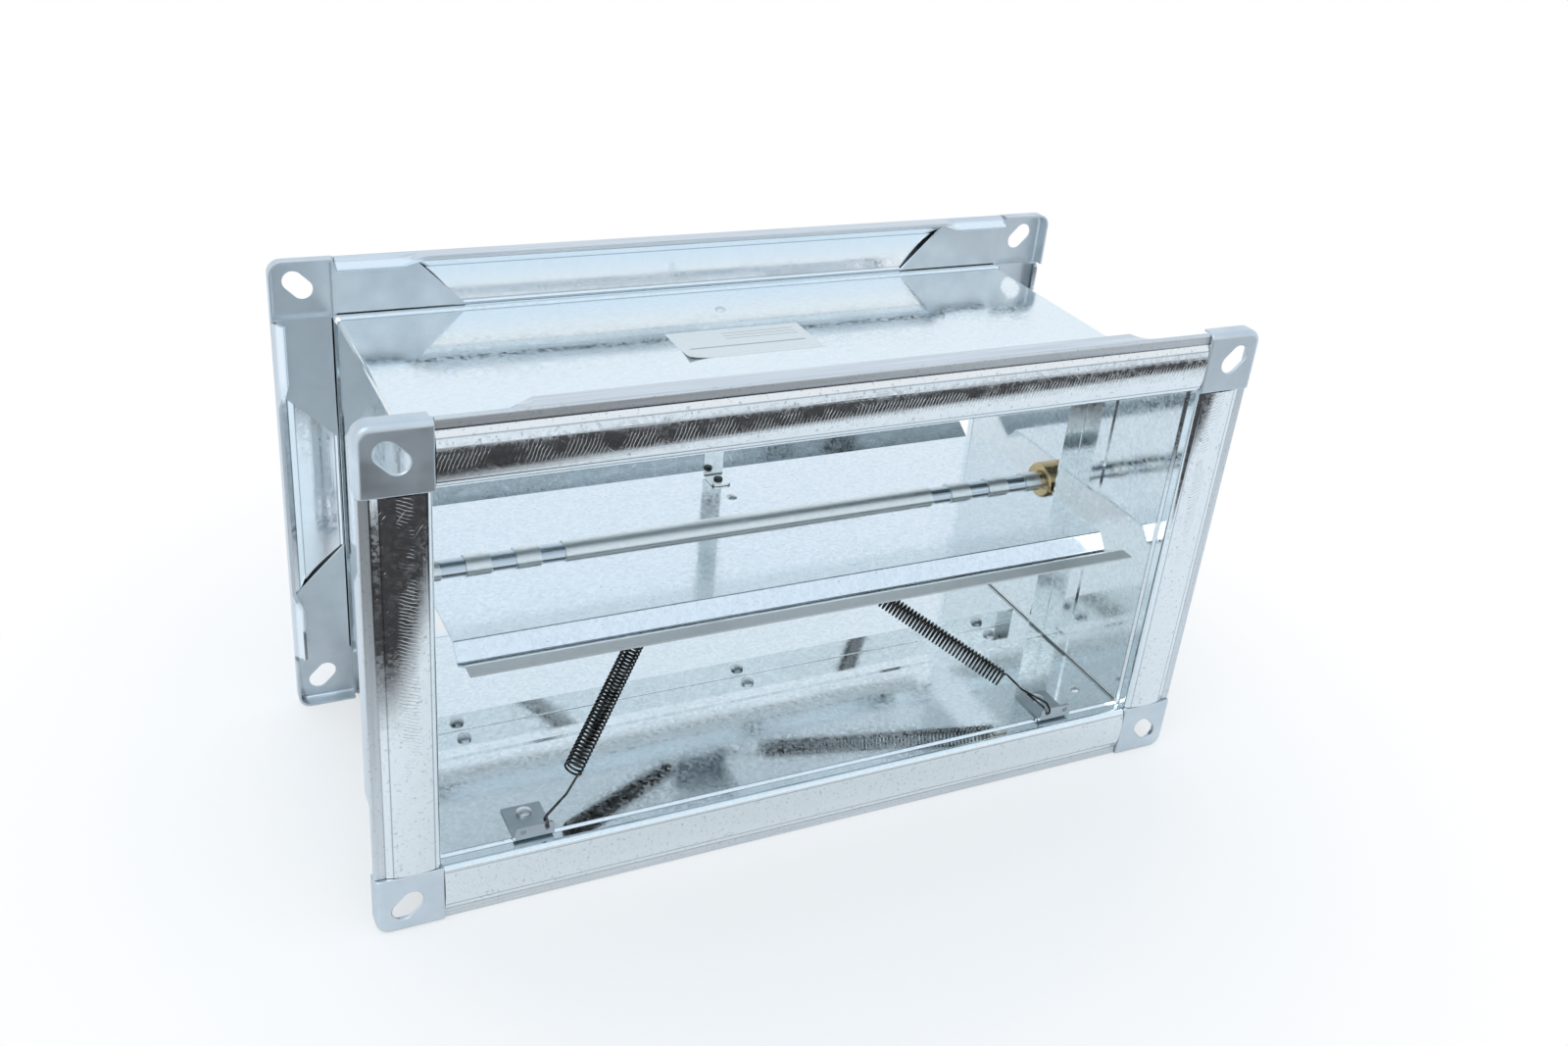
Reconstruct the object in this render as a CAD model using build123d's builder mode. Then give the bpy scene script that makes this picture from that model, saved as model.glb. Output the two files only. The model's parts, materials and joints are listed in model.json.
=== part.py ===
from build123d import *
from math import asin, cos, sin
import os

os.makedirs("parts", exist_ok=True)

# A rectangular fire damper for sheet-metal duct. X runs along the blade shaft,
# Y along the air flow and Z up. The origin is the centre of the duct.

# Duct and casing sheet
duct_width = 400.0
duct_height = 200.0
casing_length = 205.0  # between the two mating planes
casing_sheet = 1.0
fold_radius = 1.5  # inside the four long folds

# Mouth of the duct and flange section
mouth_step = 1.2  # the mouth stands this far outside the duct
mouth_band = 8.5  # length of the widened mouth
step_run = 1.5  # length of the slope from duct to mouth
nose_radius = 3.0  # roll from the mouth to the flange face
bulge_rise = 1.0  # height of the bowed face above its two ends
bulge_width = 20.0
rim_slope = 3.0  # width of the slope from the bowed face to the rim
rim_drop = 1.2  # how far the rim lies behind the end of the bowed face
flange_height = 33.0  # from the inside of the duct to the outside of the lip
lip_bend = 1.5
lip_depth = 12.5  # back edge of the lip behind the mating plane
hem_width = 6.0  # the lip is folded double over this width
crimp_length = 32.0  # lip pressed over a corner arm, from the end of the flange
crimp_run = 12.0  # length of the slope from pressed to standing lip
crimp_angle = 30.0

# Lock seam along the lower right fold
seam_slit = 0.6
seam_width = 10.0
seam_thickness = 2.0
seam_end_gap = 4.0  # from the end of the seam to the slope of the mouth

# Corner plates
plate_sheet = 1.2
plate_gap = 0.3  # between a flange end and the plate
plate_corner_radius = 7.0
plate_return = 9.0  # depth of the folded outer edges
plate_bend = 3.0  # outside radius of those folds
plate_edge = 0.8  # rounding of the two edges beside the flanges
plate_mouth_gap = 0.3  # plate to the corner of the duct's mouth
arm_length = 67.0  # from the end of the flange to the tip of the arm
arm_lip_gap = 1.5
arm_duct_gap = 0.5
slot_length = 17.0
slot_width = 10.5
slot_setback = 18.0  # slot centre from the inside of the duct
slot_rim = 0.5

# Shaft and bushes
shaft_diameter = 12.0
shaft_running_gap = 0.05
bush_flange_diameter = 24.0
bush_flange_thickness = 12.5
bush_rim_radius = 1.5
bush_barrel_diameter = 16.0
bush_swage_diameter = 18.0
bush_swage_length = 1.5
bush_hole_gap = 0.1
shaft_end_stand = 1.0  # shaft beyond the bush

# Blade
blade_sheet = 1.0
blade_side_gap = 15.0  # blade side to duct wall
blade_edge_gap = 4.5  # blade edge to duct wall when shut
blade_offset = 1.0  # middle of the sheet above the shaft's axis
blade_bend = 1.5
edge_strip = 8.5  # flat strip between the groove and the blade's edge
groove_run_in = 7.0
groove_depth = 8.4
groove_run_out = 14.0
strap_fit = 0.05  # blade loops on the shaft
rib_half_length = 110.0  # middle rib over the shaft
loop_width = 13.0  # loops pass under and over the shaft in turn
loop_root = 2.5  # inside radius of the bend from the sheet into a loop

# Stop angles
angle_sheet = 1.0
angle_bend = 1.5
stop_height = 12.0
stop_base = 22.0
stop_gap = 0.3  # blade to stop when shut
stop_end_gap = 1.0
side_angle_rise = 13.0
side_angle_base = 24.5
side_angle_y = -16.5  # back face of the standing leg
stop_fastener_inset = 14.0  # from the standing leg
stop_rivet_inset = 23.0  # from the end of the stop
stop_screw_inset = 21.0

# Spring brackets on the duct floor
bracket_sheet = 1.2
bracket_bend = 1.5
bracket_wall_gap = 46.0  # middle of the bracket from the duct wall
bracket_width = 20.0
bracket_setback = 6.5  # front face behind the mating plane
bracket_base = 25.0
bracket_height = 8.0
bracket_hole_diameter = 3.0
bracket_hole_spread = 6.0  # each hole from the middle of the bracket
bracket_hole_drop = 3.0  # hole centre below the top edge
bracket_corner_radius = 2.0
bracket_screw_inset = 18.5  # from the front face

# Spring lug under the rear half of the blade
lug_sheet = 1.2
lug_bend = 1.5
lug_width = 34.0
lug_length = 22.6
lug_washer_gap = 0.9  # tab to fuse washer
lug_drop = 12.0  # tab's lower edge below the underside of the blade
lug_hole_spread = 12.0
lug_hole_diameter = 3.0
lug_hole_rise = 3.0  # hole centre above the tab's lower edge
lug_corner_radius = 3.0
lug_rivet_inset = 8.0  # from the front edge of the lug

# Springs
spring_wire = 1.2
spring_diameter = 10.4
spring_valley = 0.6  # depth of the dip between two turns
spring_wall = 1.4
spring_ridge_pitch = 5.6
spring_hook_length = 33.0  # from a hook's centre to the coil
spring_hook_bend = 1.5
spring_end_sink = 0.3  # last turn's wire into the end of the coil
spring_hook_neck = 18.0  # from a hook's centre to where its two legs meet
spring_hook_return = 0.5  # share of the leg that the free end runs back

# Hold-open strap and its fuse
strap_sheet = 1.0
strap_bend = 1.5
strap_width = 12.0
strap_inset = 37.0  # front face of the hanging part from the blade's edge
strap_top_foot = 12.0
strap_rivet_inset = 6.0
strap_foot = 14.0
strap_foot_gap = 0.3  # over the open blade
strap_hole_inset = 7.5  # from the front face of the hanging part
strap_corner_radius = 3.0
stud_diameter = 3.2
stud_hole_gap = 0.2
stud_head_diameter = 5.2
stud_head_height = 1.2
stud_tail = 0.6  # below the fuse washer
solder_gap = 0.5
fuse_washer_diameter = 9.0
fuse_washer_thickness = 1.2
blade_fuse_hole_diameter = 6.5

# Rivets and screws
rivet_diameter = 3.2
rivet_head_diameter = 6.4
rivet_head_height = 1.4
rivet_tail_diameter = 4.8
rivet_tail_height = 1.2
screw_diameter = 3.9
screw_head_diameter = 7.5
screw_head_height = 2.4
screw_length = 9.5
screw_point = 3.0
fastener_gap = 0.1
seam_rivet_inset = 17.0  # from the right-hand wall
seam_rivet_setback = 28.0  # from the front mating plane

# Places worked out from the sizes above
half_width = duct_width / 2
half_height = duct_height / 2
half_length = casing_length / 2
mouth_start = mouth_band + step_run
nose_out = mouth_step + nose_radius
nose_depth = bulge_rise + nose_radius
bulge_end = nose_out + bulge_width
rim_start = bulge_end + rim_slope
rim_depth = bulge_rise + rim_drop
lip_start = rim_depth + lip_bend
rim_end = flange_height - lip_bend
lip_inside = flange_height - casing_sheet
arm_depth = rim_depth + casing_sheet
blade_top = blade_offset + blade_sheet / 2
blade_bottom = blade_offset - blade_sheet / 2
blade_half_width = half_width - blade_side_gap
blade_half_depth = half_height - blade_edge_gap
groove_end = blade_half_depth - edge_strip
groove_start = groove_end - groove_run_out - groove_run_in
shaft_radius = shaft_diameter / 2
loop_inside = shaft_radius + strap_fit
loop_outside = loop_inside + blade_sheet
loop_foot = loop_outside + loop_root  # flat sheet from here on
bush_outer_end = half_width + casing_sheet + bush_swage_length
strap_y = blade_half_depth - strap_inset
fuse_y = strap_y - strap_hole_inset
lug_tab_y = fuse_y - fuse_washer_diameter / 2 - lug_washer_gap
lug_front_y = lug_tab_y - lug_length
lug_rivet_y = lug_front_y + lug_rivet_inset
strap_rivet_y = strap_y + strap_rivet_inset
bottom_stop_back = blade_bottom - stop_gap
top_stop_front = blade_top + stop_gap
top_rivet_y = top_stop_front + stop_fastener_inset
bottom_screw_y = bottom_stop_back - stop_fastener_inset + stop_base / 4
bracket_x = half_width - bracket_wall_gap
bracket_front_y = bracket_setback - half_length
bracket_screw_y = bracket_front_y + bracket_screw_inset
bracket_top = bracket_height - half_height
seam_rivet_x = half_width - seam_rivet_inset
seam_rivet_y = seam_rivet_setback - half_length
stop_half_length = half_width - side_angle_rise - stop_end_gap
stop_rivet_x = stop_half_length - stop_rivet_inset
stop_screw_x = stop_half_length - stop_screw_inset


def save(piece, name):
    piece.part.label = name
    export_step(piece.part, f"parts/{name}.step")


def duct_ring(start, end, outside):
    """Sheet ring of the duct between two distances from the front mating plane."""
    with BuildSketch(Plane.XZ.offset(half_length - start)) as ring:
        RectangleRounded(
            duct_width + 2 * (outside + casing_sheet),
            duct_height + 2 * (outside + casing_sheet),
            fold_radius + casing_sheet,
        )
        RectangleRounded(
            duct_width + 2 * outside,
            duct_height + 2 * outside,
            fold_radius,
            mode=Mode.SUBTRACT,
        )
    extrude(ring.sketch, amount=start - end)


def mouth_slope(grow, mode):
    """Solid slope between the duct and its wider mouth, grown by a sheet."""
    sections = []
    for depth, outside in ((mouth_start, 0), (mouth_band, mouth_step)):
        with BuildSketch(Plane.XZ.offset(half_length - depth)) as section:
            RectangleRounded(
                duct_width + 2 * (outside + grow),
                duct_height + 2 * (outside + grow),
                fold_radius + grow,
            )
        sections.append(section.sketch)
    loft(sections, mode=mode)


def lip_outline(pressed):
    """Lip section with its hem, standing or pressed inwards over a corner arm."""
    corners = (
        (flange_height, lip_start),
        (flange_height, lip_depth),
        (lip_inside - casing_sheet, lip_depth),
        (lip_inside - casing_sheet, lip_depth - hem_width),
        (lip_inside, lip_depth - hem_width),
        (lip_inside, lip_start),
    )
    turn = Axis((flange_height, lip_start, 0), (0, 0, 1))
    with BuildLine(mode=Mode.PRIVATE) as line:
        Polyline(*corners, close=True)
    outline = line.wire().rotate(turn, crimp_angle if pressed else 0)
    return outline


def lip_run(plane, start, end, pressed_start, pressed_end):
    """Stretch of lip between two distances from the middle of a flange."""
    sections = []
    for place, pressed in ((start, pressed_start), (end, pressed_end)):
        with BuildSketch(plane.offset(place)) as section:
            make_face(lip_outline(pressed).edges())
        sections.append(section.sketch)
    loft(sections, ruled=True)


def flange(plane, half):
    """Flange along one duct edge: plane x points outwards and y into the damper."""
    with BuildSketch(plane.offset(-half)) as section:
        with BuildLine():
            nose = Line((mouth_step, mouth_band), (mouth_step, nose_depth))
            roll = RadiusArc(nose @ 1, (nose_out, bulge_rise), -nose_radius)
            face = ThreePointArc(
                roll @ 1,
                (nose_out + bulge_width / 2, 0),
                (bulge_end, bulge_rise),
            )
            slope = Line(face @ 1, (rim_start, rim_depth))
            rim = Line(slope @ 1, (rim_end, rim_depth))
            RadiusArc(rim @ 1, (flange_height, lip_start), -lip_bend)
            offset(amount=casing_sheet, side=Side.LEFT, kind=Kind.INTERSECTION)
        make_face()
    extrude(section.sketch, amount=2 * half)
    standing = half - crimp_length - crimp_run
    lip_run(plane, -standing, standing, False, False)
    for side in (-1, 1):
        pressed = side * (half - crimp_length)
        lip_run(plane, side * standing, pressed, False, True)
        lip_run(plane, pressed, side * half, True, True)


def side_plane(outward):
    """Sketch plane of the front flange whose face grows in a given direction."""
    reach = Vector(outward[0] * half_width, -half_length, outward[1] * half_height)
    out = Vector(outward[0], 0, outward[1])
    return Plane(origin=reach, x_dir=out, z_dir=out.cross(Vector(0, 1, 0)))


# Casing: one wrapped sheet with a flange rolled on each edge of both mouths
with BuildPart() as casing:
    duct_ring(mouth_start, half_length, 0)
    mouth_slope(casing_sheet, Mode.ADD)
    mouth_slope(0, Mode.SUBTRACT)
    duct_ring(nose_depth, mouth_band, mouth_step)
    for outward, half in (
        ((0, 1), half_width),
        ((0, -1), half_width),
        ((1, 0), half_height),
        ((-1, 0), half_height),
    ):
        flange(side_plane(outward), half)
    mirror(about=Plane.XZ)
    # The lower right fold is a lock seam: a slit inside, a folded strip outside
    seam_half = half_length - mouth_start - seam_end_gap
    with Locations((half_width + casing_sheet / 2, 0, -half_height + seam_slit / 2)):
        Box(casing_sheet, 2 * seam_half, seam_slit, mode=Mode.SUBTRACT)
    with Locations((half_width + casing_sheet, 0, -half_height - casing_sheet)):
        Box(
            seam_thickness,
            2 * seam_half,
            seam_width,
            align=(Align.MIN, Align.CENTER, Align.MIN),
        )
    # Shaft holes and fastener holes
    with Locations(Plane.YZ):
        Cylinder(
            bush_barrel_diameter / 2 + bush_hole_gap,
            2 * (half_width + casing_sheet),
            mode=Mode.SUBTRACT,
        )
    roof = [(x, top_rivet_y, half_height) for x in (-stop_rivet_x, stop_rivet_x)]
    roof.append((0, strap_rivet_y, half_height))
    floor_rivet = (seam_rivet_x, seam_rivet_y, -half_height)
    with Locations(*roof, floor_rivet):
        Cylinder(
            rivet_diameter / 2 + fastener_gap,
            4 * casing_sheet,
            mode=Mode.SUBTRACT,
        )
    floor = [(x, bottom_screw_y, -half_height) for x in (-stop_screw_x, 0, stop_screw_x)]
    floor += [(x, bracket_screw_y, -half_height) for x in (-bracket_x, bracket_x)]
    with Locations(*floor):
        Cylinder(
            screw_diameter / 2 + fastener_gap,
            4 * casing_sheet,
            mode=Mode.SUBTRACT,
        )
save(casing, "casing")


def corner_plate(right, front, top):
    """Corner plate with its two arms behind the flanges, for one corner of a mouth."""
    plane = Plane(
        origin=(right * half_width, front * half_length, top * half_height),
        x_dir=(right, 0, 0),
        z_dir=(0, -front, 0),
    )
    up = 1 if plane.y_dir.Z * top > 0 else -1
    arm_inner = mouth_step + casing_sheet + arm_duct_gap
    arm_outer = lip_inside - arm_lip_gap
    arm_root = plate_gap + plate_sheet
    slant = arm_outer - arm_inner
    back = arm_depth + plate_sheet
    width = flange_height - plate_gap
    middle = plate_gap + width / 2
    mouth_corner = mouth_step + casing_sheet + plate_mouth_gap
    with BuildPart() as plate:
        # Square dish, its outer edges folded back over a wide bend
        with BuildSketch(plane):
            with Locations((middle, up * middle)):
                Rectangle(width, width)
            outer = vertices().sort_by(lambda v: v.X + up * v.Y)[-1]
            fillet(outer, plate_corner_radius)
        extrude(amount=plate_return)
        front_edges = faces().sort_by(lambda f: front * f.center().Y)[-1].edges()
        beside = front_edges.sort_by(lambda e: right * e.center().X + top * e.center().Z)[:2]
        fillet(front_edges - beside, plate_bend)
        rear_face = faces().sort_by(lambda f: front * f.center().Y)[0]
        offset(amount=-plate_sheet, openings=rear_face)
        # Edges beside the flanges reach back only to the arms, and clear the corner of the mouth
        with BuildSketch(plane.offset(back)):
            with Locations((plate_gap + plate_sheet / 2, up * middle)):
                Rectangle(plate_sheet, width)
            with Locations((middle, up * (plate_gap + plate_sheet / 2))):
                Rectangle(width, plate_sheet)
        extrude(amount=plate_return - back, mode=Mode.SUBTRACT)
        with BuildSketch(plane.offset(nose_depth - plate_mouth_gap)):
            with Locations((mouth_corner / 2, up * mouth_corner / 2)):
                Rectangle(mouth_corner, mouth_corner)
        extrude(amount=plate_return, mode=Mode.SUBTRACT)
        front_edges = faces().sort_by(lambda f: front * f.center().Y)[-1].outer_wire().edges()
        beside = front_edges.sort_by(lambda e: right * e.center().X + top * e.center().Z)[:2]
        fillet(beside, plate_edge)
        # Two arms behind the flanges, cut on the slant
        with BuildSketch(plane.offset(arm_depth)):
            with BuildLine():
                Polyline(
                    (arm_root, up * arm_inner),
                    (-arm_length, up * arm_inner),
                    (-arm_length + slant, up * arm_outer),
                    (arm_root, up * arm_outer),
                    close=True,
                )
            make_face()
            with BuildLine():
                Polyline(
                    (arm_inner, up * arm_root),
                    (arm_inner, -up * arm_length),
                    (arm_outer, up * (slant - arm_length)),
                    (arm_outer, up * arm_root),
                    close=True,
                )
            make_face()
        extrude(amount=plate_sheet)
        # Diagonal bolt slot with a rolled edge
        with BuildSketch(plane):
            with Locations((slot_setback, up * slot_setback)):
                SlotOverall(slot_length, slot_width, rotation=up * 45)
        extrude(amount=plate_sheet, mode=Mode.SUBTRACT)
        face_edges = edges().filter_by_position(
            Axis.Y, front * half_length - slot_rim / 2, front * half_length + slot_rim / 2
        )
        centre = plane.from_local_coords((slot_setback, up * slot_setback, 0))
        rim = [e for e in face_edges if (e.center() - centre).length < slot_length / 2 - slot_rim]
        chamfer(rim, slot_rim)
    return plate


for front, end in ((-1, "front"), (1, "rear")):
    for top, level in ((1, "top"), (-1, "bottom")):
        for right, hand in ((-1, "left"), (1, "right")):
            save(corner_plate(right, front, top), f"{end}_{level}_{hand}_corner")


def angle_section(foot, corner, tip, sheet, bend, side):
    """Folded strip section through three points."""
    with BuildLine() as line:
        FilletPolyline(foot, corner, tip, radius=bend)
        offset(amount=sheet, side=side)
    make_face(line.edges())


# Bottom stop: stands in front of the shut blade's lower edge
with BuildPart() as bottom_stop:
    with BuildSketch(Plane.YZ.offset(-stop_half_length)):
        angle_section(
            (bottom_stop_back - stop_base, -half_height),
            (bottom_stop_back, -half_height),
            (bottom_stop_back, stop_height - half_height),
            angle_sheet,
            angle_bend,
            Side.LEFT,
        )
    extrude(amount=2 * stop_half_length)
    with Locations(*[(x, bottom_screw_y, -half_height) for x in (-stop_screw_x, 0, stop_screw_x)]):
        Cylinder(screw_diameter / 2 + fastener_gap, 4 * angle_sheet, mode=Mode.SUBTRACT)
save(bottom_stop, "bottom_stop_angle")

# Top stop: hangs behind the shut blade's upper edge
with BuildPart() as top_stop:
    with BuildSketch(Plane.YZ.offset(-stop_half_length)):
        angle_section(
            (top_stop_front + stop_base, half_height),
            (top_stop_front, half_height),
            (top_stop_front, half_height - stop_height),
            angle_sheet,
            angle_bend,
            Side.LEFT,
        )
    extrude(amount=2 * stop_half_length)
    with Locations(*[(x, top_rivet_y, half_height) for x in (-stop_rivet_x, stop_rivet_x)]):
        Cylinder(rivet_diameter / 2 + fastener_gap, 4 * angle_sheet, mode=Mode.SUBTRACT)
save(top_stop, "top_stop_angle")

# Side angles: close the gaps beside the blade
side_half_height = half_height - fold_radius
for hand, name in ((-1, "left"), (1, "right")):
    with BuildPart() as side_angle:
        with BuildSketch(Plane.XY.offset(-side_half_height)):
            angle_section(
                (hand * half_width, side_angle_y - side_angle_base),
                (hand * half_width, side_angle_y),
                (hand * (half_width - side_angle_rise), side_angle_y),
                angle_sheet,
                angle_bend,
                Side.LEFT if hand > 0 else Side.RIGHT,
            )
        extrude(amount=2 * side_half_height)
    save(side_angle, f"{name}_side_angle")

# Flanged bushes, swaged over the outside of the walls
for hand, name in ((-1, "left"), (1, "right")):
    with BuildPart() as bush:
        with BuildSketch(Plane.XZ):
            with BuildLine():
                bore = shaft_radius + shaft_running_gap
                flange_rim = bush_flange_diameter / 2
                inner_end = hand * (half_width - bush_flange_thickness)
                Polyline(
                    (inner_end, bore),
                    (inner_end, flange_rim),
                    (hand * half_width, flange_rim),
                    (hand * half_width, bush_barrel_diameter / 2),
                    (hand * (half_width + casing_sheet), bush_barrel_diameter / 2),
                    (hand * (half_width + casing_sheet), bush_swage_diameter / 2),
                    (hand * bush_outer_end, bush_swage_diameter / 2),
                    (hand * bush_outer_end, bore),
                    close=True,
                )
            make_face()
        revolve(axis=Axis.X)
        rims = edges().filter_by(GeomType.CIRCLE).group_by(lambda e: e.radius)[-1]
        fillet(rims, bush_rim_radius)
    save(bush, f"{name}_bush")

# Shaft
with BuildPart() as shaft:
    with Locations(Plane.YZ):
        Cylinder(shaft_radius, 2 * (bush_outer_end + shaft_end_stand))
    chamfer(edges().filter_by(GeomType.CIRCLE), shaft_radius / 8)
save(shaft, "shaft")


def blade_loop(start, end, over):
    """One loop of the blade's sheet over or under the shaft, bent out of the flat."""
    with BuildSketch(Plane.YZ.offset(start)) as loop:
        Circle(loop_outside)
        edge = blade_bottom if over else blade_top
        keep = Align.MIN if over else Align.MAX
        with Locations((0, edge)):
            Rectangle(
                4 * loop_outside,
                4 * loop_outside,
                align=(Align.CENTER, keep),
                mode=Mode.INTERSECT,
            )
        with Locations((0, blade_offset)):
            Rectangle(2 * (loop_foot + blade_sheet), blade_sheet)
        Circle(loop_inside, mode=Mode.SUBTRACT)
        for radius, bend in ((loop_outside, loop_root), (loop_inside, loop_root + blade_sheet)):
            on_ring = [v for v in loop.vertices() if abs(Vector(v.X, v.Y).length - radius) < strap_fit]
            fillet(on_ring, bend)
    extrude(loop.sketch, amount=end - start)


# Blade: grooved sheet whose middle is looped over and under the shaft
with BuildPart() as blade:
    with BuildSketch(Plane.YZ.offset(-blade_half_width)):
        with BuildLine():
            FilletPolyline(
                (loop_foot, blade_top),
                (groove_start, blade_top),
                (groove_start + groove_run_in, blade_top - groove_depth),
                (groove_end, blade_top),
                (blade_half_depth, blade_top),
                radius=blade_bend,
            )
            offset(amount=blade_sheet, side=Side.RIGHT)
        make_face()
        mirror(about=Plane.YZ)
    extrude(amount=2 * blade_half_width)
    blade_loop(-rib_half_length, rib_half_length, True)
    place = rib_half_length
    over = False
    while place < blade_half_width:
        end = min(place + loop_width, blade_half_width)
        blade_loop(place, end, over)
        blade_loop(-end, -place, over)
        over = not over
        place = end
    with Locations((0, lug_rivet_y, blade_offset)):
        Cylinder(rivet_diameter / 2 + fastener_gap, 4 * blade_sheet, mode=Mode.SUBTRACT)
    with Locations((0, fuse_y, blade_offset)):
        Cylinder(blade_fuse_hole_diameter / 2, 4 * blade_sheet, mode=Mode.SUBTRACT)
save(blade, "blade")

# Spring lug: folded tab riveted under the blade
lug_bottom = blade_bottom - lug_drop
lug_hole_z = lug_bottom + lug_hole_rise
with BuildPart() as lug:
    with BuildSketch(Plane.YZ.offset(-lug_width / 2)):
        angle_section(
            (lug_front_y, blade_bottom),
            (lug_tab_y, blade_bottom),
            (lug_tab_y, lug_bottom),
            lug_sheet,
            lug_bend,
            Side.RIGHT,
        )
    extrude(amount=lug_width)
    fillet(edges().filter_by(Axis.Y).group_by(Axis.Z)[0], lug_corner_radius)
    with Locations(Plane.XZ):
        with Locations((-lug_hole_spread, lug_hole_z, -lug_tab_y), (lug_hole_spread, lug_hole_z, -lug_tab_y)):
            Cylinder(lug_hole_diameter / 2, 4 * lug_sheet, mode=Mode.SUBTRACT)
    with Locations((0, lug_rivet_y, blade_bottom)):
        Cylinder(rivet_diameter / 2 + fastener_gap, 4 * lug_sheet, mode=Mode.SUBTRACT)
save(lug, "spring_lug")

# Spring brackets: folded tabs screwed to the floor behind the front mouth
for hand, name in ((-1, "left"), (1, "right")):
    with BuildPart() as bracket:
        with BuildSketch(Plane.YZ.offset(hand * bracket_x - bracket_width / 2)):
            angle_section(
                (bracket_front_y + bracket_base, -half_height),
                (bracket_front_y, -half_height),
                (bracket_front_y, bracket_top),
                bracket_sheet,
                bracket_bend,
                Side.RIGHT,
            )
        extrude(amount=bracket_width)
        fillet(edges().filter_by(Axis.Y).group_by(Axis.Z)[-1], bracket_corner_radius)
        holes = [hand * bracket_x + step for step in (-bracket_hole_spread, bracket_hole_spread)]
        with Locations(Plane.XZ):
            with Locations(*[(x, bracket_top - bracket_hole_drop, -bracket_front_y) for x in holes]):
                Cylinder(bracket_hole_diameter / 2, 4 * bracket_sheet, mode=Mode.SUBTRACT)
        with Locations((hand * bracket_x, bracket_screw_y, -half_height)):
            Cylinder(screw_diameter / 2 + fastener_gap, 4 * bracket_sheet, mode=Mode.SUBTRACT)
    save(bracket, f"{name}_spring_bracket")


def spring_end(hook, run, hook_radius):
    """End of a spring, one wire: off the coil's last turn, straight, and round the hook."""
    side = Vector(run.X, run.Y, 0).normalized().cross(Vector(0, 0, 1))
    rise = side.cross(run)
    turn = spring_diameter / 2 - spring_valley - spring_wire / 2
    coil_end = hook + run * spring_hook_length
    neck = hook + run * spring_hook_neck
    lean = asin(hook_radius / spring_hook_neck)
    touch = hook + (run * sin(lean) + rise * cos(lean)) * hook_radius
    leave = hook + (run * sin(lean) - rise * cos(lean)) * hook_radius
    with BuildLine() as path:
        FilletPolyline(coil_end + side * turn, coil_end, neck, touch, radius=spring_hook_bend)
        ThreePointArc(touch, hook - run * hook_radius, leave)
        Line(leave, leave + (neck - leave) * spring_hook_return)
    wire_path = path.wire()
    with BuildSketch(Plane(origin=wire_path @ 0, z_dir=wire_path % 0)) as wire:
        Circle(spring_wire / 2)
    sweep(wire.sketch, path=wire_path)


# Springs: extension coils from the floor brackets to the lug
low = Vector(
    bracket_x - bracket_hole_spread,
    bracket_front_y + bracket_sheet / 2,
    bracket_top,
)
high = Vector(lug_hole_spread, lug_tab_y - lug_sheet / 2, lug_bottom)
run = (high - low).normalized()
ring_axis = Vector(run.X, run.Y, 0).normalized().cross(Vector(0, 0, 1))
coil_start = low + run * (spring_hook_length - spring_end_sink)
coil_length = (high - low).length - 2 * (spring_hook_length - spring_end_sink)
ridges = round(coil_length / spring_ridge_pitch)
ridge_step = coil_length / ridges
coil_outside = spring_diameter / 2
outline = [(coil_outside - spring_wall, 0), (coil_outside - spring_valley, 0)]
for ridge in range(ridges):
    outline.append((coil_outside, (ridge + 0.5) * ridge_step))
    outline.append((coil_outside - spring_valley, (ridge + 1) * ridge_step))
outline.append((coil_outside - spring_wall, coil_length))
with BuildPart() as right_spring:
    with BuildSketch(Plane(coil_start, x_dir=ring_axis, z_dir=ring_axis.cross(run))):
        with BuildLine():
            Polyline(*outline, close=True)
        make_face()
    revolve(axis=Axis(coil_start, run))
    spring_end(low, run, bracket_hole_drop)
    spring_end(high, -run, lug_hole_rise)
save(right_spring, "right_spring")
with BuildPart() as left_spring:
    mirror(right_spring.part, about=Plane.YZ)
save(left_spring, "left_spring")

# Hold-open strap: hangs from the roof, its foot over the open blade
foot_top = blade_top + strap_foot_gap + strap_sheet
with BuildPart() as strap:
    with BuildSketch(Plane.YZ.offset(-strap_width / 2)):
        with BuildLine():
            FilletPolyline(
                (strap_y + strap_top_foot, half_height),
                (strap_y, half_height),
                (strap_y, foot_top),
                (strap_y - strap_foot, foot_top),
                radius=strap_bend,
            )
            offset(amount=strap_sheet, side=Side.LEFT)
        make_face()
    extrude(amount=strap_width)
    ends = edges().filter_by(Axis.Z).filter_by(lambda e: abs(e.length - strap_sheet) < strap_sheet / 10)
    fillet(ends, strap_corner_radius)
    with Locations((0, strap_rivet_y, half_height)):
        Cylinder(rivet_diameter / 2 + fastener_gap, 4 * strap_sheet, mode=Mode.SUBTRACT)
    with Locations((0, fuse_y, foot_top)):
        Cylinder(stud_diameter / 2 + stud_hole_gap, 4 * strap_sheet, mode=Mode.SUBTRACT)
save(strap, "hold_open_strap")

# Fuse: a stud in the strap's foot, soldered into a washer under the blade
washer_bottom = blade_bottom - fuse_washer_thickness
stud_end = washer_bottom - stud_tail
with BuildPart() as stud:
    with Locations((0, fuse_y, stud_end)):
        Cylinder(
            stud_diameter / 2,
            foot_top - stud_end,
            align=(Align.CENTER, Align.CENTER, Align.MIN),
        )
    with Locations((0, fuse_y, foot_top)):
        Cylinder(
            stud_head_diameter / 2,
            stud_head_height,
            align=(Align.CENTER, Align.CENTER, Align.MIN),
        )
    fillet(edges().group_by(Axis.Z)[-1], stud_head_height / 2)
save(stud, "fuse_stud")

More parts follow.
